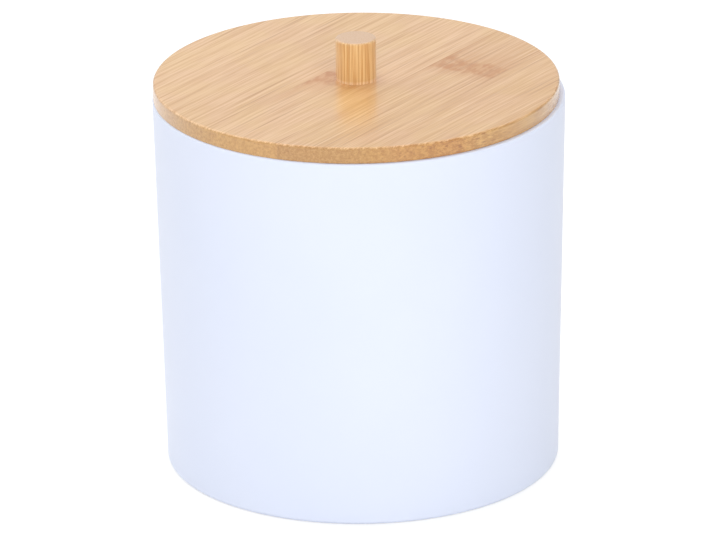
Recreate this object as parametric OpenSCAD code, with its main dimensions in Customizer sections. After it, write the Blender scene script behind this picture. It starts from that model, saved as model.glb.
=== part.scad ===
// Round cosmetic storage box: a drafted, injection-moulded tub with a turned bamboo lid.
// The lid plugs loosely into the mouth and is lifted by a short dowel knob.
// Origin at the centre of the standing ring, +Z up.

/* [Tub] */
// Outside diameter of the rim
tub_rim_d = 100; // [80:0.5:140]
// Draft of the side wall, in degrees
wall_draft = 1.25; // [0.5:0.05:3]
// Height from the table to the rim
tub_h = 93; // [60:0.5:160]
// Thickness of the side wall
wall_t = 2; // [1.6:0.1:3]
// Thickness of the floor
floor_t = 2.4; // [1.6:0.1:4]
// Rounding of the outer edge of the rim
rim_outer_r = 0.6; // [0.3:0.05:0.8]
// Rounding of the inner edge of the rim
rim_inner_r = 0.3; // [0.2:0.05:0.6]
// Rounding where the wall meets the table
base_edge_r = 1; // [0.5:0.1:2]
// Fillet between the floor and the wall inside
floor_fillet_r = 3; // [1:0.25:5]

/* [Underside of the tub] */
// Width of the standing ring
foot_w = 4; // [3:0.25:8]
// Height of the standing ring under the floor
foot_h = 1; // [0.6:0.1:2]
// Slant of the inner side of the standing ring
foot_slant = 0.5; // [0.2:0.1:1]
// Diameter of the dimple round the moulding gate
gate_d = 8; // [5:0.5:14]
// Depth of the dimple round the moulding gate
gate_depth = 0.5; // [0.3:0.1:0.8]
// Diameter of the gate stub in the dimple
gate_stub_d = 1.8; // [1:0.1:3]
// Height of the gate stub in the dimple
gate_stub_h = 0.3; // [0.1:0.05:0.3]

/* [Lid board] */
// How far the board's edge stays inside the rim's edge
lid_inset = 0.8; // [0.2:0.1:0.8]
// Thickness of the board above the rim
lid_t = 4; // [3:0.25:8]
// Depth of the turned spigot below the rim
spigot_h = 3; // [2:0.25:6]
// Radial play between the spigot and the mouth
spigot_play = 1; // [0.7:0.05:1.5]
// How far the lid lies to the right of the tub's axis, within its play
lid_seat_x = -0.6; // [-0.6:0.1:0.6]
// Rounding of the board's upper edge
lid_top_r = 0.6; // [0.3:0.05:1]
// Rounding of the board's lower edge
lid_under_r = 0.3; // [0.2:0.05:0.8]
// Rounding of the spigot's lower edge
spigot_edge_r = 0.6; // [0.2:0.05:1]

/* [Knob] */
// Diameter of the dowel
knob_d = 9.8; // [8:0.1:20]
// Height of the dowel above the board
knob_h = 10.5; // [9.5:0.25:20]
// Rounding of the dowel's top edge
knob_edge_r = 0.5; // [0.2:0.05:1]

/* [Screw] */
// Diameter of the screw's plain shank
screw_d = 3; // [2.5:0.1:4]
// Diameter of the screw's core where it grips the knob
screw_core_d = 2.2; // [1.8:0.1:2.4]
// Diameter of the countersunk head
screw_head_d = 5.8; // [5:0.1:7.5]
// Flat land at the rim of the head
screw_land_h = 0.3; // [0.1:0.05:0.5]
// Depth of the head's face below the spigot's face
screw_sink = 0.2; // [0.1:0.05:0.4]
// Reach of the screw into the knob
screw_grip = 7; // [5:0.25:8]
// Length of the screw's point
screw_tip_h = 1.6; // [1:0.1:2.5]
// Length across the arms of the cross slot
cross_w = 3; // [2.4:0.1:3.4]
// Width of one arm of the cross slot
cross_arm = 0.6; // [0.4:0.05:0.8]
// Depth of the cross slot
cross_depth = 1; // [0.6:0.1:1.2]
// Radial clearance of the shank in the board
shank_gap = 0.2; // [0.1:0.05:0.4]
// Clearance round the head in its countersink
head_gap = 0.05; // [0.02:0.01:0.1]
// Room beyond the screw's point in the knob
pilot_room = 0.5; // [0.3:0.1:1]

/* [Hidden] */
$fn = 160;
eps = 0.01;
tub_white = [0.92, 0.95, 0.99];
board_tan = [0.88, 0.76, 0.62];
knob_honey = [0.89, 0.70, 0.46];
screw_zinc = [0.72, 0.73, 0.75];

rim_r = tub_rim_d / 2;
slope = tan(wall_draft);
base_r = rim_r - slope * tub_h;
floor_z = foot_h + floor_t;
mouth_r = rim_r - wall_t;
inner_floor_r = base_r + slope * floor_z - wall_t;
foot_inner_r = base_r - foot_w;

lid_r = rim_r - lid_inset;
lid_top_z = tub_h + lid_t;
spigot_z = tub_h - spigot_h;
spigot_r = mouth_r - slope * spigot_h - spigot_play;
shank_hole_d = screw_d + 2 * shank_gap;
sink_d = screw_head_d + 2 * head_gap;
// The head and its seat are cones of 45 degrees, as tall as their step in radius
head_cone_h = (screw_head_d - screw_d) / 2;
sink_cone_h = (sink_d - shank_hole_d) / 2;
head_face_z = spigot_z + screw_sink;
cone_z = head_face_z + screw_land_h;
core_top_z = lid_top_z + screw_grip - screw_tip_h;
tip_z = lid_top_z + screw_grip;

// Unit vector from one point of an outline to another
function way(a, b) = (b - a) / norm(b - a);
// Distance from a corner at b, between a and c, to where a rounding of radius r touches its sides
function reach(a, b, c, r) = r / tan(acos(way(b, a) * way(b, c)) / 2);
// Centre of the rounding at b
function heart(a, b, c, r) = b + way([0, 0], way(b, a) + way(b, c))
    * r / sin(acos(way(b, a) * way(b, c)) / 2);
// The one or two outline points that stand for the corner at b
function ends(a, b, c, r) = r == 0
    ? [b]
    : [b + way(b, a) * reach(a, b, c, r), b + way(b, c) * reach(a, b, c, r)];

// Outline through corners [x, y, r]: true arcs, r above 0 rounds a corner and below 0 fills one
module rounded_outline(corners) {
    n = len(corners);
    function at(i) = [corners[(i + n) % n][0], corners[(i + n) % n][1]];
    difference() {
        union() {
            polygon([for (i = [0:n - 1]) each ends(at(i - 1), at(i), at(i + 1), abs(corners[i][2]))]);
            for (i = [0:n - 1])
                if (corners[i][2] > 0)
                    translate(heart(at(i - 1), at(i), at(i + 1), corners[i][2]))
                        circle(corners[i][2]);
        }
        for (i = [0:n - 1])
            if (corners[i][2] < 0)
                translate(heart(at(i - 1), at(i), at(i + 1), -corners[i][2]))
                    circle(-corners[i][2]);
    }
}

// The tub: one drafted shell with a standing ring and a gate dimple, turned from its section
module tub() {
    dimple_z = foot_h + gate_depth;
    color(tub_white)
        rotate_extrude()
            rounded_outline([
                [0, dimple_z - gate_stub_h, 0],
                [gate_stub_d / 2, dimple_z - gate_stub_h, 0],
                [gate_stub_d / 2, dimple_z, 0],
                [gate_d / 2, dimple_z, 0],
                [gate_d / 2, foot_h, 0],
                [foot_inner_r - foot_slant, foot_h, 0],
                [foot_inner_r, 0, 0],
                [base_r, 0, base_edge_r],
                [rim_r, tub_h, rim_outer_r],
                [mouth_r, tub_h, rim_inner_r],
                [inner_floor_r, floor_z, -floor_fillet_r],
                [0, floor_z, 0]
            ]);
}

// Everything of the lid sits on this axis, off the tub's by the play it has taken up
module at_lid_seat() {
    translate([lid_seat_x, 0, 0]) children();
}

// The lid board: a disc on the rim with a spigot in the mouth, bored and countersunk for the screw
module lid_board() {
    color(board_tan)
        at_lid_seat()
            difference() {
                rotate_extrude()
                    rounded_outline([
                        [0, spigot_z, 0],
                        [spigot_r, spigot_z, spigot_edge_r],
                        [spigot_r, tub_h, 0],
                        [lid_r, tub_h, lid_under_r],
                        [lid_r, lid_top_z, lid_top_r],
                        [0, lid_top_z, 0]
                    ]);
                translate([0, 0, spigot_z - eps])
                    cylinder(h = lid_t + spigot_h + 2 * eps, d = shank_hole_d);
                translate([0, 0, spigot_z - eps])
                    cylinder(h = cone_z - spigot_z + eps, d = sink_d);
                translate([0, 0, cone_z])
                    cylinder(h = sink_cone_h, d1 = sink_d, d2 = shank_hole_d);
            }
}

// The knob: a dowel end standing on the board, with a blind pilot hole from below
module lid_knob() {
    color(knob_honey)
        at_lid_seat()
            translate([0, 0, lid_top_z])
                difference() {
                    rotate_extrude()
                        rounded_outline([
                            [0, 0, 0],
                            [knob_d / 2, 0, 0],
                            [knob_d / 2, knob_h, knob_edge_r],
                            [0, knob_h, 0]
                        ]);
                    translate([0, 0, -eps])
                        cylinder(h = screw_grip + pilot_room + eps, d = screw_core_d);
                }
}

// The screw: a countersunk head with a cross slot, a plain shank, and a core that ends in a point
module knob_screw() {
    color(screw_zinc)
        at_lid_seat()
            difference() {
                rotate_extrude()
                    polygon([
                        [0, head_face_z],
                        [screw_head_d / 2, head_face_z],
                        [screw_head_d / 2, cone_z],
                        [screw_d / 2, cone_z + head_cone_h],
                        [screw_d / 2, lid_top_z],
                        [screw_core_d / 2, lid_top_z],
                        [screw_core_d / 2, core_top_z],
                        [0, tip_z]
                    ]);
                for (turn = [0, 90])
                    rotate([0, 0, turn])
                        translate([-cross_w / 2, -cross_arm / 2, head_face_z - eps])
                            cube([cross_w, cross_arm, cross_depth + eps]);
            }
}

tub();
lid_board();
lid_knob();
knob_screw();
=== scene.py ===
"""Looks of the round cosmetic storage box: a satin moulded tub under a lacquered bamboo lid.

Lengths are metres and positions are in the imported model's own frame: the origin at the centre of the
standing ring, +Z up, +Y away from the photograph's viewer.
"""
import logging
import math
from dataclasses import dataclass, field
from enum import Enum
from functools import cached_property
from typing import Optional, Sequence, Union

import bpy
import numpy as np
from mathutils import Matrix, Vector


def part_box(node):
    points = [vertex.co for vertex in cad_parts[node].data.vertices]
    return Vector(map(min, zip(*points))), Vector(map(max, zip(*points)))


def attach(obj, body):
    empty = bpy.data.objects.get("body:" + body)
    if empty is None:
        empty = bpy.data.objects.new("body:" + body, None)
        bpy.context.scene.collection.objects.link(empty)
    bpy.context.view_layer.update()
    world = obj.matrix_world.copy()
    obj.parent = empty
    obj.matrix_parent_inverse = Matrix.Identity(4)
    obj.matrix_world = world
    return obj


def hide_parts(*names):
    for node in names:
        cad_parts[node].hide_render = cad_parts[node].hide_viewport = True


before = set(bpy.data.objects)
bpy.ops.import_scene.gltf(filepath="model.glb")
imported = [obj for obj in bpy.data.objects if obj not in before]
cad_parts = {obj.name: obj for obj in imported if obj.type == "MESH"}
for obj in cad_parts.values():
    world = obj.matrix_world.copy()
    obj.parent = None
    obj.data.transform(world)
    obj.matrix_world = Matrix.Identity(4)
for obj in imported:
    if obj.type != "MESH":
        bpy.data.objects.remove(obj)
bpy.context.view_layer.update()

LOG = logging.getLogger("storage_box")
MM = 0.001
# A step too small to see, which keeps a test clear of the face that it is about
HAIR = 0.02 * MM
# The spigot's own outside radius, which the board's shape and its finish share
SPIGOT_RADIUS = 46.9345 * MM
# Between these values soft noise lies nearly everywhere, and most of the time
NOISE_SPAN = (0.3, 0.7)
NOISE_MIDDLE = (0.35, 0.65)
Colour = tuple[float, float, float]
Socket = bpy.types.NodeSocket
Feed = Union[Socket, float, int, Sequence[float]]


class Body(Enum):
    """The two bodies that the pieces ride on."""

    TUB = "tub"
    LID = "lid"


class Slot(Enum):
    """The record's material slots."""

    TUB = "tub_plastic"
    BOARD = "board_bamboo"
    KNOB = "knob_bamboo"
    SCREW = "screw_steel"


class Grain(Enum):
    """How the fibres of a bamboo piece lie."""

    FLAT = "along the board, in its plane"
    UPRIGHT = "up the dowel's axis"


@dataclass
class Skin:
    """A mesh in the making: points as one array and faces as arrays of equal-sided rows."""

    points: np.ndarray
    faces: list[np.ndarray] = field(default_factory=list)

    def to_object(self, name: str, crease_deg: float = 38.0) -> bpy.types.Object:
        """Puts the arrays into a smooth-shaded mesh object at the origin.

        Args:
            name: The object's and the mesh's name.
            crease_deg: Edges that turn by more than this stay sharp.

        Returns:
            The new object, linked to the scene.
        """
        corners = np.concatenate([rows.ravel() for rows in self.faces])
        sides = np.concatenate([np.full(len(rows), rows.shape[1]) for rows in self.faces])
        starts = np.concatenate([[0], np.cumsum(sides)[:-1]])
        mesh = bpy.data.meshes.new(name)
        mesh.vertices.add(len(self.points))
        mesh.vertices.foreach_set("co", self.points.astype(np.float32).ravel())
        mesh.loops.add(len(corners))
        mesh.loops.foreach_set("vertex_index", corners.astype(np.int32))
        mesh.polygons.add(len(sides))
        mesh.polygons.foreach_set("loop_start", starts.astype(np.int32))
        mesh.polygons.foreach_set("loop_total", sides.astype(np.int32))
        mesh.polygons.foreach_set("use_smooth", np.ones(len(sides), dtype=bool))
        mesh.update(calc_edges=True)
        mesh.validate()
        mesh.set_sharp_from_angle(angle=math.radians(crease_deg))
        made = bpy.data.objects.new(name, mesh)
        bpy.context.scene.collection.objects.link(made)
        return made


@dataclass(frozen=True)
class Corner:
    """One corner of a section: its radius and height, and a rounding, negative where it is a fillet."""

    r: float
    z: float
    rounding: float = 0.0

    @property
    def at(self) -> np.ndarray:
        """The corner as a point (r, z)."""
        return np.array([self.r, self.z])


def arc_at(before: np.ndarray, corner: Corner, after: np.ndarray, steps: int) -> np.ndarray:
    """Points of the rounding at one corner.

    The centre lies on the bisector of the two sides, rounding / sin(half angle) from the corner, and the
    arc runs between the feet of the perpendiculars from that centre to the sides.

    Args:
        before: The section's point before the corner.
        corner: The corner itself.
        after: The section's point after the corner.
        steps: Number of chords on the arc.

    Returns:
        An array of (r, z) rows, one row if the corner isn't rounded.
    """
    if corner.rounding == 0:
        return corner.at[None, :]
    radius = abs(corner.rounding)
    to_before = (before - corner.at) / np.linalg.norm(before - corner.at)
    to_after = (after - corner.at) / np.linalg.norm(after - corner.at)
    half = math.acos(float(np.clip(to_before @ to_after, -1.0, 1.0))) / 2
    bisector = (to_before + to_after) / np.linalg.norm(to_before + to_after)
    centre = corner.at + bisector * radius / math.sin(half)
    first = corner.at + to_before * radius / math.tan(half) - centre
    last = corner.at + to_after * radius / math.tan(half) - centre
    start = math.atan2(first[1], first[0])
    sweep = (math.atan2(last[1], last[0]) - start + math.pi) % (2 * math.pi) - math.pi
    angles = start + sweep * np.linspace(0.0, 1.0, steps + 1)
    return centre + radius * np.column_stack([np.cos(angles), np.sin(angles)])


def section(
    corners: Sequence[Corner],
    closed: bool,
    steps: int = 8,
    longest: float = 3 * MM,
    near_end: float = 0.12 * MM,
) -> np.ndarray:
    """Turns a list of corners into a fine outline.

    Each corner becomes its arc, and each straight run is divided evenly, with one extra point close to
    either end so that smooth shading stays flat on the run.

    Args:
        corners: The corners in order, the material on the left of the way.
        closed: True for a ring section that doesn't reach the axis.
        steps: Chords on each rounding.
        longest: The longest straight piece.
        near_end: How close to the ends of a run its extra points lie.

    Returns:
        The outline as (r, z) rows.
    """
    count = len(corners)
    arcs = [
        arc_at(corners[k - 1].at, corners[k], corners[(k + 1) % count].at, steps)
        if closed or 0 < k < count - 1
        else corners[k].at[None, :]
        for k in range(count)
    ]
    runs = []
    for k, arc in enumerate(arcs):
        runs.append(arc)
        if k == count - 1 and not closed:
            break
        start, end = arc[-1], arcs[(k + 1) % count][0]
        length = float(np.linalg.norm(end - start))
        near = min(near_end, length / 4)
        inner = np.linspace(near, length - near, max(2, math.ceil(length / longest) + 1))
        runs.append(start + (end - start) * inner[:, None] / max(length, 1e-9))
    return np.vstack(runs)


def turn(outline: np.ndarray, around: int, centre_x: float = 0.0, closed: bool = False) -> Skin:
    """Carries an outline round an upright axis: x = r cos a + centre, y = r sin a, z = z.

    Args:
        outline: (r, z) rows, the material on the left of the way.
        around: Number of steps round the axis.
        centre_x: Where the axis stands.
        closed: True to join the last ring to the first. Otherwise both ends lie on the axis, and each
            becomes a single pole.

    Returns:
        The turned skin, faces outward.
    """
    angles = np.linspace(0.0, 2 * math.pi, around, endpoint=False)
    rings = outline if closed else outline[1:-1]
    r, z = rings[:, :1], rings[:, 1:]
    grid = np.stack(
        [r * np.cos(angles) + centre_x, r * np.sin(angles), np.broadcast_to(z, (len(rings), around))],
        axis=-1,
    )
    return close_rings(grid, closed, [] if closed else [
        (centre_x, 0.0, float(outline[0, 1])),
        (centre_x, 0.0, float(outline[-1, 1])),
    ])


def close_rings(grid: np.ndarray, closed: bool, poles: Sequence[tuple[float, float, float]]) -> Skin:
    """Joins rings of points into a skin.

    Args:
        grid: Points as (ring, step round, xyz).
        closed: True to join the last ring to the first.
        poles: The first and the last pole of an open row of rings.

    Returns:
        Quads between neighbouring rings, and a fan of triangles at each pole.
    """
    count, around = grid.shape[:2]
    index = np.arange(count * around).reshape(count, around)
    nearer = index if closed else index[:-1]
    farther = np.roll(index, -1, axis=0) if closed else index[1:]
    quads = np.stack(
        [nearer, np.roll(nearer, -1, axis=1), np.roll(farther, -1, axis=1), farther], axis=-1
    ).reshape(-1, 4)
    points = grid.reshape(-1, 3)
    faces = [quads]
    if poles:
        first, last = index[0], index[-1]
        start, end = np.full(around, len(points)), np.full(around, len(points) + 1)
        faces.append(np.column_stack([start, np.roll(first, -1), first]))
        faces.append(np.column_stack([end, last, np.roll(last, -1)]))
        points = np.vstack([points, np.array(poles)])
    return Skin(points, faces)


class Bench:
    """Lays out the shader nodes of one material, a row of small steps at a time."""

    def __init__(self, name: str) -> None:
        """Starts an empty material.

        Args:
            name: The material's name.
        """
        self.material = bpy.data.materials.new(name)
        self.material.use_nodes = True
        self.tree = self.material.node_tree
        self.tree.nodes.clear()

    @cached_property
    def here(self) -> Socket:
        """The shaded point in Object coordinates."""
        return self.add("ShaderNodeTexCoord").outputs["Object"]

    def add(self, kind: str, **settings: object) -> bpy.types.ShaderNode:
        """Adds a node and sets its plain properties.

        Args:
            kind: The node's type name.
            **settings: Properties to set on it.

        Returns:
            The new node.
        """
        node = self.tree.nodes.new(kind)
        for key, value in settings.items():
            setattr(node, key, value)
        return node

    def feed(self, socket: Socket, value: Feed) -> None:
        """Links a socket to another one, or sets its own value.

        Args:
            socket: The input to feed.
            value: An output socket, or a number, colour or vector.
        """
        if isinstance(value, bpy.types.NodeSocket):
            self.tree.links.new(value, socket)
        else:
            socket.default_value = value

    def maths(self, operation: str, *values: Feed, clamp: bool = False) -> Socket:
        """A Math node on up to three values.

        Args:
            operation: The node's operation.
            *values: Its inputs.
            clamp: Whether the result is held between 0 and 1.

        Returns:
            The result's socket.
        """
        node = self.add("ShaderNodeMath", operation=operation, use_clamp=clamp)
        for socket, value in zip(node.inputs, values):
            self.feed(socket, value)
        return node.outputs[0]

    def times(self, left: Feed, right: Feed) -> Socket:
        """Left times right."""
        return self.maths("MULTIPLY", left, right)

    def minus(self, left: Feed, right: Feed) -> Socket:
        """Left minus right."""
        return self.maths("SUBTRACT", left, right)

    def times_plus(self, left: Feed, right: Feed, more: Feed, clamp: bool = False) -> Socket:
        """Left times right, plus more."""
        return self.maths("MULTIPLY_ADD", left, right, more, clamp=clamp)

    def blend(self, factor: Feed, low: Feed, high: Feed, mode: str = "MIX") -> Socket:
        """Mixes two colours.

        Args:
            factor: 0 for low, 1 for high.
            low: Colour at 0.
            high: Colour at 1.
            mode: The blend mode.

        Returns:
            The mixed colour's socket.
        """
        node = self.add("ShaderNodeMix", data_type="RGBA", blend_type=mode)
        self.feed(node.inputs["Factor"], factor)
        self.feed(node.inputs[6], low)
        self.feed(node.inputs[7], high)
        return node.outputs[2]

    def spread(
        self,
        value: Feed,
        low: float,
        high: float,
        out: tuple[float, float] = (0.0, 1.0),
        kind: str = "SMOOTHSTEP",
    ) -> Socket:
        """Maps low..high onto a new pair of values, held at both ends.

        Args:
            value: The value to map.
            low: Input that gives out[0].
            high: Input that gives out[1].
            out: The new pair.
            kind: SMOOTHSTEP or LINEAR.

        Returns:
            The mapped value's socket.
        """
        node = self.add("ShaderNodeMapRange", interpolation_type=kind)
        self.feed(node.inputs["Value"], value)
        for label, number in zip(("From Min", "From Max", "To Min", "To Max"), (low, high, *out)):
            node.inputs[label].default_value = number
        return node.outputs[0]

    def towards(self, value: Feed, edge: float, band: tuple[float, float]) -> Socket:
        """Rises softly from 0 to 1 as a value comes up to an edge.

        Args:
            value: The value to map.
            edge: The edge's own value.
            band: How far before the edge the rise begins, and how far before it the rise is full.

        Returns:
            The rise's socket.
        """
        return self.spread(value, edge - band[0], edge - band[1])

    def noise(self, where: Feed, scale: float, detail: float = 2.0, roughness: float = 0.5) -> Socket:
        """Soft noise.

        Args:
            where: The point to read it at.
            scale: Cells for each unit of length.
            detail: Octaves.
            roughness: Weight of the finer octaves.

        Returns:
            The noise's value, about 0.5 on average.
        """
        node = self.add("ShaderNodeTexNoise")
        self.feed(node.inputs["Vector"], where)
        node.inputs["Scale"].default_value = scale
        node.inputs["Detail"].default_value = detail
        node.inputs["Roughness"].default_value = roughness
        return node.outputs["Fac"]

    def cells(self, where: Feed, scale: float, scatter: float = 1.0) -> Socket:
        """Distance to the nearest of many scattered points.

        Args:
            where: The point to read it at.
            scale: Cells for each unit of length.
            scatter: 0 for a regular lattice, 1 for a free scatter.

        Returns:
            The distance's socket.
        """
        node = self.add("ShaderNodeTexVoronoi", feature="F1")
        self.feed(node.inputs["Vector"], where)
        node.inputs["Scale"].default_value = scale
        node.inputs["Randomness"].default_value = scatter
        return node.outputs["Distance"]

    def join(self, x: Feed, y: Feed, z: Feed) -> Socket:
        """A vector from three values.

        Args:
            x: First value.
            y: Second value.
            z: Third value.

        Returns:
            The vector's socket.
        """
        node = self.add("ShaderNodeCombineXYZ")
        for socket, value in zip(node.inputs, (x, y, z)):
            self.feed(socket, value)
        return node.outputs[0]

    def split(self, vector: Socket) -> tuple[Socket, Socket, Socket]:
        """The three values of a vector.

        Args:
            vector: The vector's socket.

        Returns:
            Its x, y and z sockets.
        """
        node = self.add("ShaderNodeSeparateXYZ")
        self.feed(node.inputs[0], vector)
        return node.outputs[0], node.outputs[1], node.outputs[2]

    def ramp(self, value: Feed, stops: Sequence[tuple[float, Colour]], kind: str = "CONSTANT") -> Socket:
        """A row of colours.

        Args:
            value: Where to read it, from 0 to 1.
            stops: Where each colour stands, and the colour.
            kind: CONSTANT for flat colours with hard steps, LINEAR for even blends.

        Returns:
            The colour's socket.
        """
        node = self.add("ShaderNodeValToRGB")
        node.color_ramp.interpolation = kind
        elements = node.color_ramp.elements
        elements.remove(elements[1])
        elements[0].position, elements[0].color = stops[0][0], (*stops[0][1], 1.0)
        for position, colour in stops[1:]:
            elements.new(position).color = (*colour, 1.0)
        self.feed(node.inputs[0], value)
        return node.outputs[0]

    def bump(self, height: Feed, depth: float, under: Optional[Socket] = None) -> Socket:
        """A surface relief.

        Args:
            height: The relief, from 0 to 1.
            depth: Its full height in metres.
            under: The normal that it is laid over.

        Returns:
            The bent normal's socket.
        """
        node = self.add("ShaderNodeBump")
        node.inputs["Strength"].default_value = 1.0
        node.inputs["Distance"].default_value = depth
        self.feed(node.inputs["Height"], height)
        if under is not None:
            self.feed(node.inputs["Normal"], under)
        return node.outputs[0]

    def surface(self, **inputs: Feed) -> bpy.types.Material:
        """Ends the row in a Principled shader.

        Args:
            **inputs: The shader's inputs, with _ for each space.

        Returns:
            The finished material.
        """
        shader = self.add("ShaderNodeBsdfPrincipled")
        for label, value in inputs.items():
            self.feed(shader.inputs[label.replace("_", " ")], value)
        output = self.add("ShaderNodeOutputMaterial")
        self.tree.links.new(shader.outputs[0], output.inputs["Surface"])
        return self.material


@dataclass(frozen=True)
class MouldedPlastic:
    """Cool white polypropylene, satin from the mould."""

    colour: Colour = (0.810, 0.858, 0.985)
    shade: Colour = (0.795, 0.846, 0.980)
    clouds_per_metre: float = 22.0
    roughness: tuple[float, float] = (0.35, 0.41)
    refraction: float = 1.49
    peel_size: float = 1.6 * MM
    peel_depth: float = 0.006 * MM
    matt_size: float = 0.12 * MM
    matt_depth: float = 0.0008 * MM

    def material(self) -> bpy.types.Material:
        """Faint clouds in the colour and the gloss, over a soft mould peel and a fine matt grain.

        Returns:
            The plastic's material.
        """
        bench = Bench("moulded_plastic")
        clouds = bench.noise(bench.here, self.clouds_per_metre, detail=3.0)
        peel = bench.noise(bench.here, 1 / self.peel_size, detail=1.0)
        matt = bench.noise(bench.here, 1 / self.matt_size, detail=1.0)
        relief = bench.bump(matt, self.matt_depth, bench.bump(peel, self.peel_depth))
        rough = bench.spread(clouds, *NOISE_SPAN, self.roughness)
        tint = bench.blend(bench.spread(clouds, *NOISE_MIDDLE), (*self.shade, 1.0), (*self.colour, 1.0))
        return bench.surface(Base_Color=tint, Roughness=rough, Normal=relief, IOR=self.refraction)


@dataclass(frozen=True)
class Strip:
    """One flat-pressed strip of the board: where it starts across the grain, and what it looks like.

    Lengths are millimetres in the grain's own frame. The seed shifts the fibres, so that no line runs
    on from one strip to the next. The growth ring is faint at faint_at and full at full_at, across, and
    a ring_at off the board leaves the strip without one.
    """

    start: float
    ring_at: float
    tone: float
    seed: float
    faint_at: float = -90.0
    full_at: float = -80.0


@dataclass(frozen=True)
class StripHere:
    """What the strips' table says at the shaded point: places in millimetres, the rest from 0 to 1."""

    ring_at: Socket
    ring_strength: Socket
    tone: Socket
    seed: Socket
    to_next: Socket


@dataclass(frozen=True)
class Lines:
    """The drawing of the fibres at the shaded point, each value from 0 to 1."""

    broad: Socket
    fibre: Socket
    vein: Socket


@dataclass(frozen=True)
class CutEnd:
    """How a cut end looks at the shaded point: its stain, the swing of its tone, its share of veins."""

    stain: Feed
    swing: Feed
    vein_share: Feed


@dataclass(frozen=True)
class VeinDots:
    """Veins as dots across the fibres: how close, how freely scattered, how wide and how dark.

    A dot is full where its middle is nearer than core, and gone where it is farther than edge.
    """

    per_mm: float
    scatter: float
    edge: float
    core: float
    strength: float

    def shown(self, bench: Bench, lie: Socket) -> Socket:
        """The dots' darkness: strength times a soft step of the distance to the nearest dot's middle.

        Args:
            bench: The material's bench.
            lie: The shaded point, drawn out along the fibres.

        Returns:
            The darkness, from 0 to the dots' strength.
        """
        dots = bench.spread(bench.cells(lie, self.per_mm, self.scatter), self.edge, self.core)
        return bench.times(dots, self.strength)


@dataclass(frozen=True)
class GrowthRing:
    """The brown band across a strip where the stalk had a joint.

    Lengths are millimetres along the fibres, counted from the band's own line, away from the board's
    middle. Each edge is a pair: where it is gone, and where it is full.
    """

    inner_edge: tuple[float, float] = (-5.8, -3.4)
    outer_edge: tuple[float, float] = (6.4, 1.6)
    inner_halo: tuple[float, float] = (-9.0, -5.0)
    outer_halo: tuple[float, float] = (13.0, 5.0)
    halo_strength: float = 0.26
    wander: float = 6.0
    wander_per_mm: float = 0.35
    beside_seam: tuple[float, float] = (0.2, 2.6)
    drawn_out: float = 0.38
    fleck_per_mm: float = 1.1
    fleck_run: float = 0.35
    fleck_range: tuple[float, float] = (0.44, 0.60)
    fleck_share: float = 0.56
    patch_per_mm: float = 0.30
    patch_run: float = 0.8
    patch_range: tuple[float, float] = (0.38, 0.58)
    patch_share: float = 0.82
    patch_level: float = 5.0

    def _offset(self, bench: Bench, along: Socket, across: Socket, strip: StripHere) -> Socket:
        """How far outwards of the band's line the shaded point is.

        The line wanders across the strip, and beside the next strip what lies outwards counts as
        nearer, which draws the band out there.

        Args:
            bench: The material's bench.
            along: Millimetres along the fibres.
            across: Millimetres across them.
            strip: What the strips' table says here.

        Returns:
            The distance in millimetres.
        """
        line = bench.join(0.0, bench.times(across, self.wander_per_mm), 0.0)
        shift = bench.times_plus(bench.noise(line, 1.0, 2.0), self.wander, -self.wander / 2)
        offset = bench.maths("ADD", bench.minus(along, strip.ring_at), shift)
        offset = bench.times(offset, bench.maths("SIGN", strip.ring_at))
        nearer = bench.spread(strip.to_next, *self.beside_seam, (self.drawn_out, 1.0))
        beyond = bench.times(bench.maths("MAXIMUM", offset, 0.0), nearer)
        return bench.maths("ADD", bench.maths("MINIMUM", offset, 0.0), beyond)

    def _between(self, bench: Bench, offset: Socket, *edges: tuple[float, float]) -> Socket:
        """The product of two soft edges.

        Args:
            bench: The material's bench.
            offset: The distance from the band's line.
            *edges: The inner and the outer edge.

        Returns:
            1 between the edges and 0 outside them.
        """
        inner, outer = (bench.spread(offset, *edge) for edge in edges)
        return bench.times(inner, outer)

    def darkness(
        self, bench: Bench, along: Socket, across: Socket, through: Socket, strip: StripHere
    ) -> Socket:
        """The band, mottled by fine flecks and large patches, over a faint halo.

        Args:
            bench: The material's bench.
            along: Millimetres along the fibres.
            across: Millimetres across them.
            through: Millimetres through the thickness.
            strip: What the strips' table says here.

        Returns:
            The band's darkness.
        """
        offset = self._offset(bench, along, across, strip)
        band = self._between(bench, offset, self.inner_edge, self.outer_edge)
        fleck_at = bench.join(bench.times(along, self.fleck_run), across, through)
        fleck = bench.noise(fleck_at, self.fleck_per_mm, 2.0, 0.6)
        patch_at = bench.join(bench.times(along, self.patch_run), across, self.patch_level)
        patch = bench.noise(patch_at, self.patch_per_mm, 1.0)
        flecks = bench.spread(fleck, *self.fleck_range, (1.0, self.fleck_share))
        patches = bench.spread(patch, *self.patch_range, (self.patch_share, 1.0))
        mottled = bench.times(band, bench.times(flecks, patches))
        halo = self._between(bench, offset, self.inner_halo, self.outer_halo)
        return bench.maths("MAXIMUM", mottled, bench.times(halo, self.halo_strength))


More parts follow.
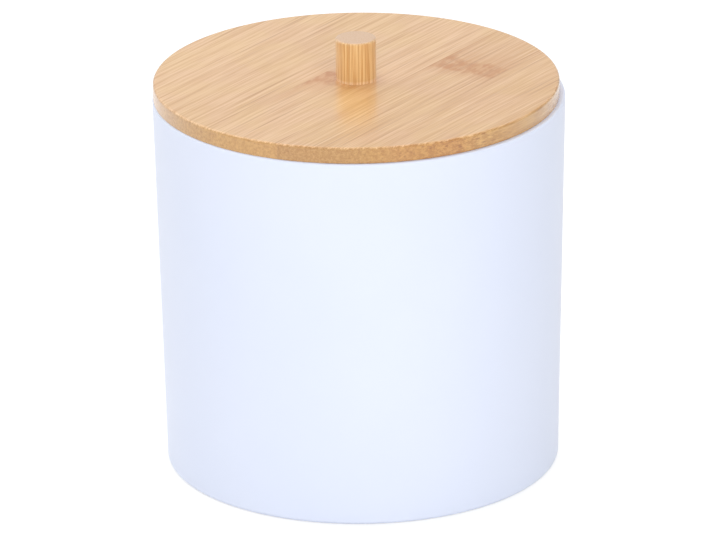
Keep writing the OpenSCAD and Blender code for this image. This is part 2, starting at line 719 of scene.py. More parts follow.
@dataclass(frozen=True)
class Bamboo:
    """Lacquered bamboo as a solid texture, so that fibres are lines along a face and dots across it.

    Lengths without MM are millimetres in the grain's own frame. A cut end changes with its distance
    from the board's middle along the fibres: end_stain has rows of distance and tint, and end_cut has
    rows of distance, swing of the tone and share of the veins. Each pair for an edge says how far from
    it its look begins, and how far from it the look is full.
    """

    grain: Grain
    # Colours of the wood, by its density
    pale: Colour = (0.865, 0.540, 0.264)
    deep: Colour = (0.655, 0.345, 0.118)
    vein: Colour = (0.450, 0.180, 0.030)
    ring: Colour = (0.550, 0.200, 0.020)
    # Cut ends, by their distance from the middle
    end_stain: tuple[tuple[float, Colour], ...] = (
        (0.0, (0.86, 0.76, 0.44)),
        (16.0, (0.87, 0.77, 0.44)),
        (22.0, (0.80, 0.62, 0.26)),
        (28.0, (0.80, 0.62, 0.26)),
        (34.0, (0.82, 0.67, 0.31)),
        (44.0, (0.77, 0.675, 0.40)),
    )
    end_cut: tuple[tuple[float, float, float], ...] = (
        (0.0, 2.8, 0.50),
        (8.0, 3.2, 0.50),
        (15.0, 7.5, 0.80),
        (27.0, 8.0, 0.90),
        (33.0, 4.4, 0.55),
        (44.0, 3.8, 0.30),
    )
    end_reach: float = 50.0
    most_swing: float = 10.0
    dull_strips: tuple[float, float] = (0.42, 0.62)
    dull_stain: float = 0.92
    # Tone and sway of the fibres
    even_tone: float = 0.55
    swing: float = 3.8
    broad_swing: float = 0.10
    broad_run: float = 0.012
    broad_per_mm: float = 0.16
    sway: float = 0.8
    sway_run: float = 0.02
    sway_per_mm: float = 0.1
    # Veins
    vein_share: float = 0.62
    coarse_veins: VeinDots = VeinDots(1.0, 0.75, 0.36, 0.12, 1.0)
    fine_veins: VeinDots = VeinDots(1.75, 0.9, 0.42, 0.14, 0.6)
    fading_per_mm: float = 0.8
    fading_range: tuple[float, float] = (0.36, 0.58)
    # Fine fibres
    fibre_pitch: float = 0.75
    fibre_run: float = 0.0185
    fibre_detail: float = 3.0
    fibre_harshness: float = 0.86
    # Strips, seams and growth rings of a board
    grain_deg: float = 55.8
    strips: tuple[Strip, ...] = (
        Strip(-90.0, 90.0, 0.42, 0.10),
        Strip(-27.5, 21.3, 0.38, 0.35, -60.0, -24.0),
        Strip(-9.7, -3.8, 0.61, 0.55, -9.0, 4.0),
        Strip(9.0, 90.0, 0.55, 0.80),
        Strip(27.5, -95.0, 0.69, 0.05),
    )
    reach: float = 100.0
    seed_shift: float = 61.0
    seam_half: tuple[float, float] = (0.22, 0.05)
    seam_strength: float = 0.2
    growth: GrowthRing = GrowthRing()
    drift_run: float = 0.8
    drift_per_mm: float = 0.10
    drift_level: float = 3.0
    golden: Colour = (1.0, 1.01, 0.93)
    rosy: Colour = (1.0, 0.99, 1.02)
    # Edges where the cut shows, the marks of turning, and painted light at the dowel's foot
    dowel_end: tuple[float, float] = (0.25 * MM, 0.02 * MM)
    arris: tuple[float, float] = (0.30 * MM, 0.03 * MM)
    arris_notch: float = 1.2 * MM
    rim_side: tuple[float, float] = (0.08 * MM, 0.02 * MM)
    spigot_side: tuple[float, float] = (0.42 * MM, 0.06 * MM)
    tool_feed: float = 0.7 * MM
    tool_marks: float = 0.35
    # Painted light: the band at the dowel's foot and its tint, which lift the shade where the dowel meets
    # the board
    foot: tuple[float, float] = (0.95 * MM, 0.35 * MM)
    foot_light_tint: Colour = (1.14, 1.22, 1.58)
    # Relief, gloss and lacquer
    relief_depth: float = 0.02 * MM
    vein_groove: float = 0.6
    roughness: tuple[float, float] = (0.48, 0.38)
    wood_gloss: float = 0.8
    lacquer_roughness: float = 0.21
    lacquer_refraction: float = 1.6
    lacquer_relief: float = 0.0015 * MM

    def _place(self, bench: Bench) -> tuple[Socket, Socket, Socket]:
        """Millimetres along the fibres, across them, and through the thickness.

        Args:
            bench: The material's bench.

        Returns:
            The three sockets.
        """
        turned = bench.add("ShaderNodeMapping", vector_type="TEXTURE")
        bench.feed(turned.inputs["Vector"], bench.here)
        turned.inputs["Scale"].default_value = (MM, MM, MM)
        if self.grain is Grain.FLAT:
            turned.inputs["Rotation"].default_value = (0.0, 0.0, math.radians(self.grain_deg))
            return bench.split(turned.outputs[0])
        across, through, along = bench.split(turned.outputs[0])
        return along, across, through

    def _strip_table(self, bench: Bench, across: Socket) -> StripHere:
        """Reads the strip that a point lies in, from two rows of flat steps.

        Places are stored as 0 to 1 over the whole reach, and the ring's strength is
        (place - faint) / (full - faint), held between 0 and 1.

        Args:
            bench: The material's bench.
            across: Millimetres across the grain.

        Returns:
            The strip's growth ring, tone and seed, and the way to the next strip.
        """
        span = 2 * self.reach
        place = bench.spread(across, -self.reach, self.reach, kind="LINEAR")
        starts = [max(0.0, 0.5 + strip.start / span) for strip in self.strips]
        ends = [*starts[1:], 1.0]
        looks = [(0.5 + strip.ring_at / span, strip.tone, strip.seed) for strip in self.strips]
        fades = [
            (0.5 + strip.faint_at / span, 0.5 + strip.full_at / span, end)
            for strip, end in zip(self.strips, ends)
        ]
        ring_place, tone, seed = bench.split(bench.ramp(place, list(zip(starts, looks))))
        faint, full, end = bench.split(bench.ramp(place, list(zip(starts, fades))))
        strength = bench.maths("DIVIDE", bench.minus(place, faint), bench.minus(full, faint), clamp=True)
        ring_at = bench.times_plus(ring_place, span, -self.reach)
        to_next = bench.times(bench.minus(end, place), span)
        return StripHere(ring_at, strength, tone, seed, to_next)

    def _seam_gap(self, bench: Bench, across: Socket) -> Socket:
        """How far the nearest glue line between two strips is: the least of all the distances.

        Args:
            bench: The material's bench.
            across: Millimetres across the grain.

        Returns:
            The distance in millimetres.
        """
        nearest: Feed = self.reach
        for strip in self.strips[1:]:
            gap = bench.maths("ABSOLUTE", bench.minus(across, strip.start))
            nearest = bench.maths("MINIMUM", nearest, gap)
        return nearest

    def _lines(self, bench: Bench, along: Socket, across: Socket, depth: Socket) -> Lines:
        """Draws the fibres: noise and dots in a space that is drawn out along the fibres and sways.

        Args:
            bench: The material's bench.
            along: Millimetres along the fibres.
            across: Millimetres across them.
            depth: Millimetres through the thickness, shifted from strip to strip.

        Returns:
            The broad tone, the fine fibres and the dark veins.
        """
        sway_at = bench.join(bench.times(along, self.sway_run), bench.times(across, self.sway_per_mm), 0.0)
        bent = bench.times_plus(bench.noise(sway_at, 1.0, 1.0), self.sway, across)
        lie = bench.join(bench.times(along, self.fibre_run), bent, depth)
        broad_at = bench.join(bench.times(along, self.broad_run), bent, depth)
        broad = bench.noise(broad_at, self.broad_per_mm, 1.0)
        fibre = bench.noise(lie, 1 / self.fibre_pitch, self.fibre_detail, self.fibre_harshness)
        fading = bench.spread(bench.noise(lie, self.fading_per_mm, 1.0), *self.fading_range)
        coarse, fine = self.coarse_veins.shown(bench, lie), self.fine_veins.shown(bench, lie)
        dots = bench.maths("MAXIMUM", coarse, fine)
        return Lines(broad, fibre, bench.times(dots, fading))

    def _cut_mask(self, bench: Bench, fibre: Socket) -> tuple[Socket, Feed]:
        """Where the surface is cut across the fibres: the board's edges, or the dowel's end.

        The board's edges are read off the distance from its axis. The turning tool's rings are the
        sine of that distance over the tool's feed.

        Args:
            bench: The material's bench.
            fibre: The fibres' tone, which notches the board's upper arris.

        Returns:
            A mask, 1 on the cut, and the rings that the turning tool left under the board.
        """
        x, y, z = bench.split(bench.here)
        if self.grain is Grain.UPRIGHT:
            return bench.towards(z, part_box("lid_knob")[1][2], self.dowel_end), 0.0
        low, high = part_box("lid_board")
        centre_x, edge = (low[0] + high[0]) / 2, (high[0] - low[0]) / 2
        out = bench.maths("SQRT", bench.maths(
            "ADD",
            bench.maths("POWER", bench.minus(x, centre_x), 2.0),
            bench.maths("POWER", y, 2.0),
        ))
        notched = bench.times_plus(bench.minus(fibre, 0.5), -self.arris_notch, out)
        arris = bench.towards(notched, edge, self.arris)
        rim_side = bench.maths("MAXIMUM", arris, bench.towards(out, edge, self.rim_side))
        below = bench.maths("LESS_THAN", z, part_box("tub")[1][2] + HAIR)
        under_side = bench.times(bench.towards(out, SPIGOT_RADIUS, self.spigot_side), below)
        wave = bench.maths("SINE", bench.times(out, 2 * math.pi / self.tool_feed))
        rings = bench.times(wave, bench.times(below, self.tool_marks))
        return bench.maths("MAXIMUM", rim_side, under_side), rings

    def _cut_end(self, bench: Bench, along: Socket, tone: Feed) -> CutEnd:
        """Reads how a cut end looks here: one look on the dowel, two tables on the board.

        Args:
            bench: The material's bench.
            along: Millimetres along the fibres.
            tone: The strip's tone, which dulls the stain where it is low.

        Returns:
            The stain, the swing of the tone and the share of the veins.
        """
        if self.grain is Grain.UPRIGHT:
            (_, tint), (_, swing, vein_share) = self.end_stain[0], self.end_cut[0]
            return CutEnd((*tint, 1.0), swing, vein_share)
        from_middle = bench.maths("DIVIDE", bench.maths("ABSOLUTE", along), self.end_reach)
        cuts = [
            (place / self.end_reach, (swing / self.most_swing, vein_share, 0.0))
            for place, swing, vein_share in self.end_cut
        ]
        stains = [(place / self.end_reach, tint) for place, tint in self.end_stain]
        swing_part, vein_share = bench.split(bench.ramp(from_middle, cuts, "LINEAR"))[:2]
        dulling = bench.spread(tone, *self.dull_strips, (self.dull_stain, 1.0))
        stain = bench.blend(1.0, bench.ramp(from_middle, stains, "LINEAR"), dulling, "MULTIPLY")
        return CutEnd(stain, bench.times(swing_part, self.most_swing), vein_share)

    def _mark_board(
        self, bench: Bench, colour: Socket, place: tuple[Socket, Socket, Socket], strip: StripHere
    ) -> Socket:
        """Adds what only a board has: a drift of the hue, growth rings and glue lines.

        Args:
            bench: The material's bench.
            colour: The fibres' colour.
            place: Millimetres along the fibres, across them and through the thickness.
            strip: What the strips' table says here.

        Returns:
            The marked colour.
        """
        along, across, through = place
        drift_at = bench.join(bench.times(along, self.drift_run), across, self.drift_level)
        drift = bench.spread(bench.noise(drift_at, self.drift_per_mm, 1.0), *NOISE_MIDDLE)
        hue = bench.blend(drift, (*self.golden, 1.0), (*self.rosy, 1.0))
        colour = bench.blend(1.0, colour, hue, "MULTIPLY")
        band = self.growth.darkness(bench, along, across, through, strip)
        band = bench.times(band, strip.ring_strength)
        colour = bench.blend(band, colour, (*self.ring, 1.0))
        seam = bench.spread(self._seam_gap(bench, across), *self.seam_half, (0.0, self.seam_strength))
        return bench.blend(seam, colour, (*self.vein, 1.0))

    def _paint_foot_light(self, bench: Bench, colour: Socket) -> Socket:
        """Pales the lowest part of a dowel: painted light that lifts the shade where it stands on the
        board.

        Args:
            bench: The material's bench.
            colour: The dowel's colour.

        Returns:
            The colour with the pale foot.
        """
        z = bench.split(bench.here)[2]
        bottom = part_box("lid_knob")[0][2]
        # Painted light: the foot made paler, lifting the shade where the dowel meets the board
        foot_lit = bench.blend(1.0, colour, (*self.foot_light_tint, 1.0), "MULTIPLY")
        foot_lift = bench.spread(z, bottom + self.foot[0], bottom + self.foot[1])
        return bench.blend(foot_lift, colour, foot_lit)

    def material(self) -> bpy.types.Material:
        """Broad tone, fine fibres, dark veins and, on a board, strips with growth rings, under lacquer.

        The body's tone is tone + broad_swing * (broad - 1/2) + swing * (fibre - 1/2), and swing and
        the veins' share go over to the cut end's own where the mask says so.

        Returns:
            The bamboo's material.
        """
        bench = Bench(f"bamboo_{self.grain.name.lower()}")
        place = self._place(bench)
        along, across, depth = place
        tone: Feed = self.even_tone
        board = self.grain is Grain.FLAT
        if board:
            strip = self._strip_table(bench, across)
            tone = strip.tone
            depth = bench.times_plus(strip.seed, self.seed_shift, depth)
        lines = self._lines(bench, along, across, depth)
        ends, tool_rings = self._cut_mask(bench, lines.fibre)
        cut = self._cut_end(bench, along, tone)
        body = bench.times_plus(bench.minus(lines.broad, 0.5), self.broad_swing, tone)
        swing = bench.times_plus(ends, bench.minus(cut.swing, self.swing), self.swing)
        body = bench.times_plus(bench.minus(lines.fibre, 0.5), swing, body, clamp=True)
        colour = bench.blend(body, (*self.deep, 1.0), (*self.pale, 1.0))
        if board:
            colour = self._mark_board(bench, colour, place, strip)
        more_veins = bench.minus(cut.vein_share, self.vein_share)
        share = bench.times_plus(ends, more_veins, self.vein_share)
        colour = bench.blend(bench.times(lines.vein, share), colour, (*self.vein, 1.0))
        colour = bench.blend(ends, colour, bench.blend(1.0, colour, cut.stain, "MULTIPLY"))
        if not board:
            # Painted light at the dowel's foot
            colour = self._paint_foot_light(bench, colour)
        relief = bench.times_plus(lines.vein, -self.vein_groove, lines.fibre)
        relief = bench.maths("ADD", relief, tool_rings)
        rough = bench.spread(lines.fibre, *NOISE_SPAN, self.roughness)
        return bench.surface(
            Base_Color=colour,
            Roughness=rough,
            Normal=bench.bump(relief, self.relief_depth),
            Coat_Weight=1.0,
            Coat_Roughness=self.lacquer_roughness,
            Coat_IOR=self.lacquer_refraction,
            Specular_IOR_Level=self.wood_gloss,
            Coat_Normal=bench.bump(lines.fibre, self.lacquer_relief),
        )


@dataclass(frozen=True)
class ZincPlate:
    """Bright zinc on the small screw."""

    colour: Colour = (0.62, 0.63, 0.66)
    dull: Colour = (0.52, 0.53, 0.55)
    clouds_per_metre: float = 900.0
    roughness: tuple[float, float] = (0.22, 0.38)
    rolled_per_metre: float = 5000.0
    rolled_depth: float = 0.002 * MM

    def material(self) -> bpy.types.Material:
        """Clouded zinc with a faint rolled relief.

        Returns:
            The screw's material.
        """
        bench = Bench("zinc_plate")
        clouds = bench.noise(bench.here, self.clouds_per_metre, detail=3.0)
        tint = bench.blend(clouds, (*self.dull, 1.0), (*self.colour, 1.0))
        rough = bench.spread(clouds, *NOISE_SPAN, self.roughness)
        relief = bench.bump(bench.noise(bench.here, self.rolled_per_metre), self.rolled_depth)
        return bench.surface(Base_Color=tint, Roughness=rough, Normal=relief, Metallic=1.0)


@dataclass
class Tub:
    """The moulded tub: one drafted shell with a rounded rim, a standing ring and a gate dimple."""

    draft_deg: float = 1.25
    wall: float = 2.0 * MM
    floor: float = 2.4 * MM
    rim_outer: float = 0.6 * MM
    rim_inner: float = 0.3 * MM
    base_edge: float = 1.0 * MM
    floor_fillet: float = 3.0 * MM
    foot_width: float = 4.0 * MM
    foot_height: float = 1.0 * MM
    foot_slant: float = 0.5 * MM
    gate: float = 4.0 * MM
    gate_depth: float = 0.5 * MM
    stub: float = 0.9 * MM
    stub_height: float = 0.3 * MM
    around: int = 384
    finish: MouldedPlastic = field(default_factory=MouldedPlastic)

    def build(self) -> bpy.types.Object:
        """Turns the tub from its section and dresses it.

        Returns:
            The tub's object.
        """
        low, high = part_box("tub")
        rim, height = min(high[0], high[1], -low[0], -low[1]), high[2]
        slope = math.tan(math.radians(self.draft_deg))
        base = rim - slope * height
        floor_z = self.foot_height + self.floor
        dimple_z = self.foot_height + self.gate_depth
        outline = section([
            Corner(0.0, dimple_z - self.stub_height),
            Corner(self.stub, dimple_z - self.stub_height),
            Corner(self.stub, dimple_z),
            Corner(self.gate, dimple_z),
            Corner(self.gate, self.foot_height),
            Corner(base - self.foot_width - self.foot_slant, self.foot_height),
            Corner(base - self.foot_width, low[2]),
            Corner(base, low[2], self.base_edge),
            Corner(rim, height, self.rim_outer),
            Corner(rim - self.wall, height, self.rim_inner),
            Corner(base + slope * floor_z - self.wall, floor_z, -self.floor_fillet),
            Corner(0.0, floor_z),
        ], closed=False)
        # Keeps the arcs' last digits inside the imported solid's own height
        outline[:, 1] = outline[:, 1].clip(low[2], height)
        made = turn(outline, self.around).to_object("moulded_tub")
        made.data.materials.append(self.finish.material())
        settle(made, Body.TUB, "tub")
        return made


@dataclass
class Board:
    """The lid board: a disc on the rim with a spigot in the mouth, bored and countersunk below."""

    above: float = 4.0 * MM
    spigot_radius: float = SPIGOT_RADIUS
    top_edge: float = 0.6 * MM
    under_edge: float = 0.2 * MM
    spigot_edge: float = 0.6 * MM
    bore: float = 1.7 * MM
    sink: float = 2.95 * MM
    sink_land: float = 0.5 * MM
    around: int = 384
    finish: Bamboo = field(default_factory=lambda: Bamboo(Grain.FLAT))

    def build(self) -> bpy.types.Object:
        """Turns the board from its section and dresses it.

        Returns:
            The board's object.
        """
        low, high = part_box("lid_board")
        centre_x = (low[0] + high[0]) / 2
        edge = (high[0] - low[0]) / 2
        bottom, top = low[2], high[2]
        seat = top - self.above
        outline = section([
            Corner(self.bore, top),
            Corner(self.bore, bottom + self.sink_land + self.sink - self.bore),
            Corner(self.sink, bottom + self.sink_land),
            Corner(self.sink, bottom),
            Corner(self.spigot_radius, bottom, self.spigot_edge),
            Corner(self.spigot_radius, seat),
            Corner(edge, seat, self.under_edge),
            Corner(edge, top, self.top_edge),
        ], closed=True)
        made = turn(outline, self.around, centre_x, closed=True).to_object("bamboo_board")
        made.data.materials.append(self.finish.material())
        settle(made, Body.LID, "lid_board")
        return made


@dataclass
class Knob:
    """The knob: a dowel end with an eased top edge and a blind pilot hole."""

    edge: float = 0.5 * MM
    pilot: float = 1.1 * MM
    pilot_depth: float = 7.5 * MM
    around: int = 192
    finish: Bamboo = field(default_factory=lambda: Bamboo(
        Grain.UPRIGHT,
        pale=(0.955, 0.648, 0.290),
        deep=(0.625, 0.295, 0.070),
        vein=(0.46, 0.19, 0.03),
        end_stain=((0.0, (0.87, 0.90, 1.30)),),
        end_cut=((0.0, 1.2, 0.08),),
        swing=5.4,
        vein_share=0.40,
        fibre_pitch=0.34,
        fibre_run=0.010,
        lacquer_roughness=0.25,
    ))

    def build(self) -> bpy.types.Object:
        """Turns the dowel from its section and dresses it.

        Returns:
            The knob's object.
        """
        low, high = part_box("lid_knob")
        centre_x = (low[0] + high[0]) / 2
        radius = (high[0] - low[0]) / 2
        outline = section([
            Corner(0.0, low[2] + self.pilot_depth),
            Corner(self.pilot, low[2] + self.pilot_depth),
            Corner(self.pilot, low[2]),
            Corner(radius, low[2]),
            Corner(radius, high[2], self.edge),
            Corner(0.0, high[2]),
        ], closed=False, longest=0.5 * MM)
        made = turn(outline, self.around, centre_x).to_object("dowel_knob")
        made.data.materials.append(self.finish.material())
        settle(made, Body.LID, "lid_knob")
        return made


@dataclass
class Screw:
    """The countersunk wood screw under the lid: cross recess, land, cone, shank, thread and point."""

    land: float = 0.3 * MM
    head_edge: float = 0.12 * MM
    shank: float = 1.5 * MM
    core: float = 1.1 * MM
    shoulder: float = 0.2 * MM
    above_board: float = 7.0 * MM
    thread_pitch: float = 1.25 * MM
    thread_rise: float = 0.36 * MM
    thread_half: float = 0.22
    thread_run_in: float = 0.8
    thread_rings: int = 132
    point: float = 1.6 * MM
    recess_reach: float = 1.5 * MM
    recess_half: float = 0.3 * MM
    recess_flank: float = 0.1 * MM
    recess_depth: float = 1.0 * MM
    face_rings: int = 64
    around: int = 192
    finish: ZincPlate = field(default_factory=ZincPlate)

    def _face(self, radius: float, level: float, angles: np.ndarray) -> tuple[np.ndarray, np.ndarray]:
        """The head's face, with the cross recess sunk into it.

        The recess is a height over the polar grid: full depth where a point is nearer to either bar's
        middle line than half a bar's width, easing out over a narrow flank, and shallower towards the
        ends of the bars.

        Args:
            radius: The face's outer radius.
            level: Its height.
            angles: The steps round the axis.

        Returns:
            Radii and heights as (ring, step) arrays, from the middle outwards.
        """
        reach = np.linspace(HAIR, radius, self.face_rings)[:, None] + 0 * angles
        x, y = reach * np.cos(angles), reach * np.sin(angles)
        near = np.minimum(np.abs(x), np.abs(y))
        inside = np.clip((self.recess_half - near) / self.recess_flank, 0.0, 1.0)
        floor = np.sqrt(np.clip(1.0 - (reach / self.recess_reach) ** 2, 0.0, 1.0))
        return reach, level + self.recess_depth * inside * floor

    def _thread(self, level: float, tip: float, angles: np.ndarray) -> tuple[np.ndarray, np.ndarray]:
        """The threaded end: r = core + rise * ridge(z / pitch - a / turn), both narrowing to the point.

        The ridge is a triangle over each turn, thread_half of a pitch to either side, and it rises over
        the first thread_run_in of a pitch.

        Args:
            level: Where the thread starts.
            tip: Where the point ends.
            angles: The steps round the axis.

        Returns:
            Radii and heights as (ring, step) arrays, from the start to just before the tip.
        """
        height = np.linspace(level, tip, self.thread_rings)[:-1, None] + 0 * angles
        phase = (height / self.thread_pitch - angles / (2 * math.pi)) % 1.0
        ridge = np.clip(1.0 - np.abs(phase - 0.5) / self.thread_half, 0.0, 1.0)
        starts = np.clip((height - level) / (self.thread_run_in * self.thread_pitch), 0.0, 1.0)
        taper = np.clip((tip - height) / self.point, 0.0, 1.0)
        return (self.core + self.thread_rise * ridge * starts) * taper, height

    def build(self) -> bpy.types.Object:
        """Joins the face, the turned cone and shank, and the thread into one row of rings.

        Returns:
            The screw's object.
        """
        low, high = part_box("knob_screw")
        centre_x, head = (low[0] + high[0]) / 2, (high[0] - low[0]) / 2
        face, tip = low[2], high[2]
        thread_start = tip - self.above_board
        angles = np.linspace(0.0, 2 * math.pi, self.around, endpoint=False)
        face_r, face_z = self._face(head - self.head_edge, face, angles)
        body = section([
            Corner(head - self.head_edge, face),
            Corner(head, face + self.head_edge),
            Corner(head, face + self.land),
            Corner(self.shank, face + self.land + head - self.shank),
            Corner(self.shank, thread_start - self.shoulder),
            Corner(self.core, thread_start),
        ], closed=False, longest=0.5 * MM)[1:]
        thread_r, thread_z = self._thread(thread_start, tip, angles)
        r = np.vstack([face_r, body[:, :1] + 0 * angles, thread_r[1:]])
        z = np.vstack([face_z, body[:, 1:] + 0 * angles, thread_z[1:]])
        grid = np.stack([r * np.cos(angles) + centre_x, r * np.sin(angles), z], axis=-1)
        poles = [(centre_x, 0.0, face + self.recess_depth), (centre_x, 0.0, tip)]
        made = close_rings(grid, False, poles).to_object("wood_screw")
        made.data.materials.append(self.finish.material())
        settle(made, Body.LID, "knob_screw")
        return made


def settle(piece: bpy.types.Object, body: Body, node: str) -> None:
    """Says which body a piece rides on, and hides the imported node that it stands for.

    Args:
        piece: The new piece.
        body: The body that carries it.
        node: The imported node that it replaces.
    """
    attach(piece, body.value)
    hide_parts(node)


@dataclass(frozen=True)
class Lamp:
    """A soft lamp: its turn to the right of the camera, its rise, distance, size and power.

    A lamp that isn't mirrored lights the box without showing in its gloss.
    """

    name: str
    turn_deg: float
    rise_deg: float
    distance: float
    size: float
    watts: float
    mirrored: bool = True


@dataclass
class Studio:
    """The plain pale floor, the soft lights and the camera at the photograph's angle."""

    picture_px: tuple[int, int] = (716, 540)
    lens_px: float = 8000.0
    sensor: float = 36.0
    distance: float = 1.9362
    elevation_deg: float = 19.635
    tilt_deg: float = -1.261
    pan_deg: float = -0.023
    roll_deg: float = -0.710
    clip_near: float = 0.05
    clip_far: float = 100.0
    sky_strength: float = 0.48
    sky_tint: Colour = (0.985, 1.0, 1.05)
    floor_size: float = 30.0
    floor_drop: float = 0.05 * MM
    floor_bounce: float = 0.82
    floor_glow: float = 0.6
    floor_shadow: float = 0.5
    card_radius: float = 6.0
    card_height: float = 6.0
    card_low: float = 0.50
    card_high: float = 0.95
    card_steps: int = 96
    lamps: tuple[Lamp, ...] = (
        Lamp("front_lamp", 5.0, 26.0, 2.4, 2.6, 35.5, mirrored=False),
        Lamp("rim_lamp", -115.0, 30.0, 2.4, 2.4, 13.0),
        Lamp("top_lamp", 180.0, 64.0, 2.2, 2.0, 21.5, mirrored=False),
    )

    def camera(self) -> bpy.types.Object:
        """Sets up the camera that the photograph was taken with.

        It stands at the given distance and elevation from the centre of the rim. It looks at that point,
        then is tilted, panned and rolled by small angles that put the box where the picture has it.

        Returns:
            The camera.
        """
        aim = Vector((0.0, 0.0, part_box("tub")[1][2]))
        elevation = math.radians(self.elevation_deg)
        pitch = math.radians(self.tilt_deg) - elevation
        pan = math.radians(self.pan_deg)
        roll = math.radians(self.roll_deg)
        level = math.cos(pitch)
        ahead = Vector((math.sin(pan) * level, math.cos(pan) * level, math.sin(pitch)))
        right = ahead.cross(Vector((0.0, 0.0, 1.0))).normalized()
        up = right.cross(ahead)
        rolled_right = right * math.cos(roll) + up * math.sin(roll)
        rolled_up = up * math.cos(roll) - right * math.sin(roll)
        data = bpy.data.cameras.new("photo_camera")
        data.sensor_width = self.sensor
        data.lens = self.sensor * self.lens_px / self.picture_px[0]
        data.clip_start, data.clip_end = self.clip_near, self.clip_far
        made = bpy.data.objects.new("photo_camera", data)
        axes = Matrix((rolled_right, rolled_up, -ahead)).transposed()
        place = aim + Vector((0.0, -math.cos(elevation), math.sin(elevation))) * self.distance
        made.matrix_world = Matrix.Translation(place) @ axes.to_4x4()
        bpy.context.scene.collection.objects.link(made)
        bpy.context.scene.camera = made
        return made

    def _seen(self, tree: bpy.types.NodeTree) -> Socket:
        """1 for a ray from the camera, off a gloss or through glass, and 0 for diffuse light.

        Args:
            tree: The node tree that needs it.

        Returns:
            The value's socket.
        """
        paths = tree.nodes.new("ShaderNodeLightPath")
        seen = paths.outputs["Is Camera Ray"]
        for label in ("Is Glossy Ray", "Is Transmission Ray"):
            either = tree.nodes.new("ShaderNodeMath")
            either.operation = "MAXIMUM"
            tree.links.new(seen, either.inputs[0])
            tree.links.new(paths.outputs[label], either.inputs[1])
            seen = either.outputs[0]
        return seen

    def sky(self) -> None:
        """Lights the box evenly from all round, and shows plain white to the camera and in gloss."""
        world = bpy.data.worlds.new("studio_sky")
        bpy.context.scene.world = world
        world.use_nodes = True
        tree = world.node_tree
        tree.nodes.clear()
        soft = tree.nodes.new("ShaderNodeBackground")
        soft.inputs["Color"].default_value = (*self.sky_tint, 1.0)
        soft.inputs["Strength"].default_value = self.sky_strength
        white = tree.nodes.new("ShaderNodeBackground")
        white.inputs["Color"].default_value = (1.0, 1.0, 1.0, 1.0)
        pick = tree.nodes.new("ShaderNodeMixShader")
        tree.links.new(self._seen(tree), pick.inputs[0])
        tree.links.new(soft.outputs[0], pick.inputs[1])
        tree.links.new(white.outputs[0], pick.inputs[2])
        output = tree.nodes.new("ShaderNodeOutputWorld")
        tree.links.new(pick.outputs[0], output.inputs["Surface"])

    def hang(self, lamp: Lamp) -> bpy.types.Object:
        """Hangs a square soft lamp that faces the box.

        Args:
            lamp: Which lamp, and where.

        Returns:
            The lamp's object.
        """
        turn_by, rise = math.radians(lamp.turn_deg), math.radians(lamp.rise_deg)
        middle = Vector((0.0, 0.0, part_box("tub")[1][2] / 2))
        out_x, out_y = math.sin(turn_by) * math.cos(rise), -math.cos(turn_by) * math.cos(rise)
        ray = Vector((out_x, out_y, math.sin(rise)))
        data = bpy.data.lights.new(lamp.name, "AREA")
        data.shape = "SQUARE"
        data.size = lamp.size
        data.energy = lamp.watts
        made = bpy.data.objects.new(lamp.name, data)
        made.visible_glossy = lamp.mirrored
        made.location = middle + ray * lamp.distance
        made.rotation_mode = "QUATERNION"
        made.rotation_quaternion = (-ray).to_track_quat("-Z", "Y")
        bpy.context.scene.collection.objects.link(made)
        return made

    def cards(self) -> bpy.types.Object:
        """Stands grey cards in a ring round the set, paler towards the top.

        They are there for gloss alone: the lacquer and the satin plastic mirror them where they are seen
        at a flat angle, which draws the edges. They give no light, and the camera looks past them. The
        ring is x = r cos a, y = r sin a, z = height.

        Returns:
            The ring of cards.
        """
        angles = np.linspace(0.0, 2 * math.pi, self.card_steps, endpoint=False)
        heights = np.array([0.0, self.card_height])[:, None] + 0 * angles
        grid = np.stack([self.card_radius * np.cos(angles) + 0 * heights,
                         self.card_radius * np.sin(angles) + 0 * heights, heights], axis=-1)
        made = close_rings(grid, False, []).to_object("grey_cards")
        bench = Bench("grey_cards")
        height = bench.split(bench.here)[2]
        glow = bench.add("ShaderNodeEmission")
        bench.feed(glow.inputs["Strength"], bench.spread(
            height, 0.0, self.card_height, (self.card_low, self.card_high), "LINEAR"
        ))
        output = bench.add("ShaderNodeOutputMaterial")
        bench.tree.links.new(glow.outputs[0], output.inputs["Surface"])
        made.data.materials.append(bench.material)
        made.visible_camera = False
        made.visible_diffuse = False
        made.visible_shadow = False
        return made

    def floor(self) -> bpy.types.Object:
        """Lays the floor just under the standing ring: grey to diffuse light, white to the camera.

        To the camera it is part plain white and part lit, so the box's soft shadow stays on it.

        Returns:
            The floor.
        """
        half, level = self.floor_size / 2, -self.floor_drop
        corners = [(-half, -half), (half, -half), (half, half), (-half, half)]
        points = np.array([(x, y, level) for x, y in corners])
        made = Skin(points, [np.array([[0, 1, 2, 3]])]).to_object("studio_floor")
        bench = Bench("studio_floor")
        seen = self._seen(bench.tree)
        lit = bench.add("ShaderNodeBsdfDiffuse")
        lit.inputs["Color"].default_value = (*[self.floor_bounce] * 3, 1.0)
        shown = bench.add("ShaderNodeBsdfDiffuse")
        shown.inputs["Color"].default_value = (*[self.floor_shadow] * 3, 1.0)
        glow = bench.add("ShaderNodeEmission")
        glow.inputs["Strength"].default_value = self.floor_glow
        both = bench.add("ShaderNodeAddShader")
        bench.tree.links.new(shown.outputs[0], both.inputs[0])
        bench.tree.links.new(glow.outputs[0], both.inputs[1])
        pick = bench.add("ShaderNodeMixShader")
        bench.tree.links.new(seen, pick.inputs[0])
        bench.tree.links.new(lit.outputs[0], pick.inputs[1])
        bench.tree.links.new(both.outputs[0], pick.inputs[2])
        output = bench.add("ShaderNodeOutputMaterial")
        bench.tree.links.new(pick.outputs[0], output.inputs["Surface"])
        made.data.materials.append(bench.material)
        return made

    def build(self) -> None:
        """Sets up the picture's plain view, the camera, the sky, the floor and the lamps."""
        bpy.context.scene.view_settings.view_transform = "Standard"
        self.camera()
        self.sky()
        self.floor()
        self.cards()
        for lamp in self.lamps:
            self.hang(lamp)


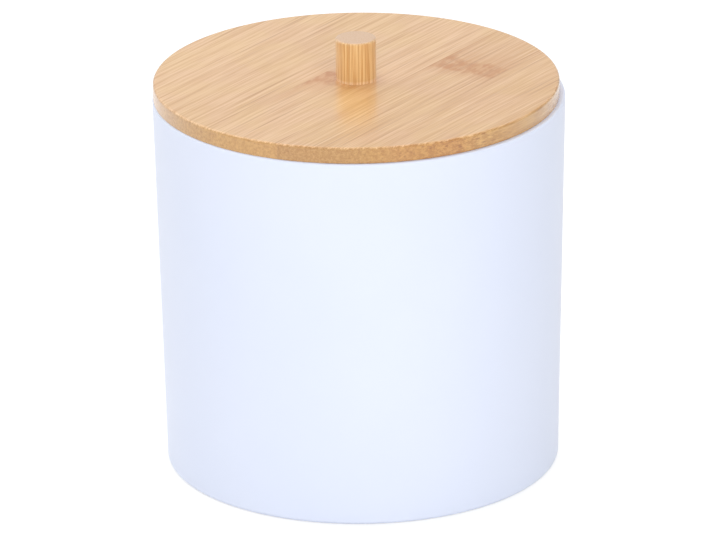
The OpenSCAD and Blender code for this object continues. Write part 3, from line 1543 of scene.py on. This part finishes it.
def main() -> None:
    """Builds the studio and the box."""
    logging.basicConfig(level=logging.INFO, format="%(name)s: %(message)s")
    Studio().build()
    LOG.info("studio ready")
    for part in (Tub(), Board(), Knob(), Screw()):
        made = part.build()
        LOG.info("%s: %s, %d faces", type(part).__name__, made.name, len(made.data.polygons))


if __name__ == "__main__":
    main()
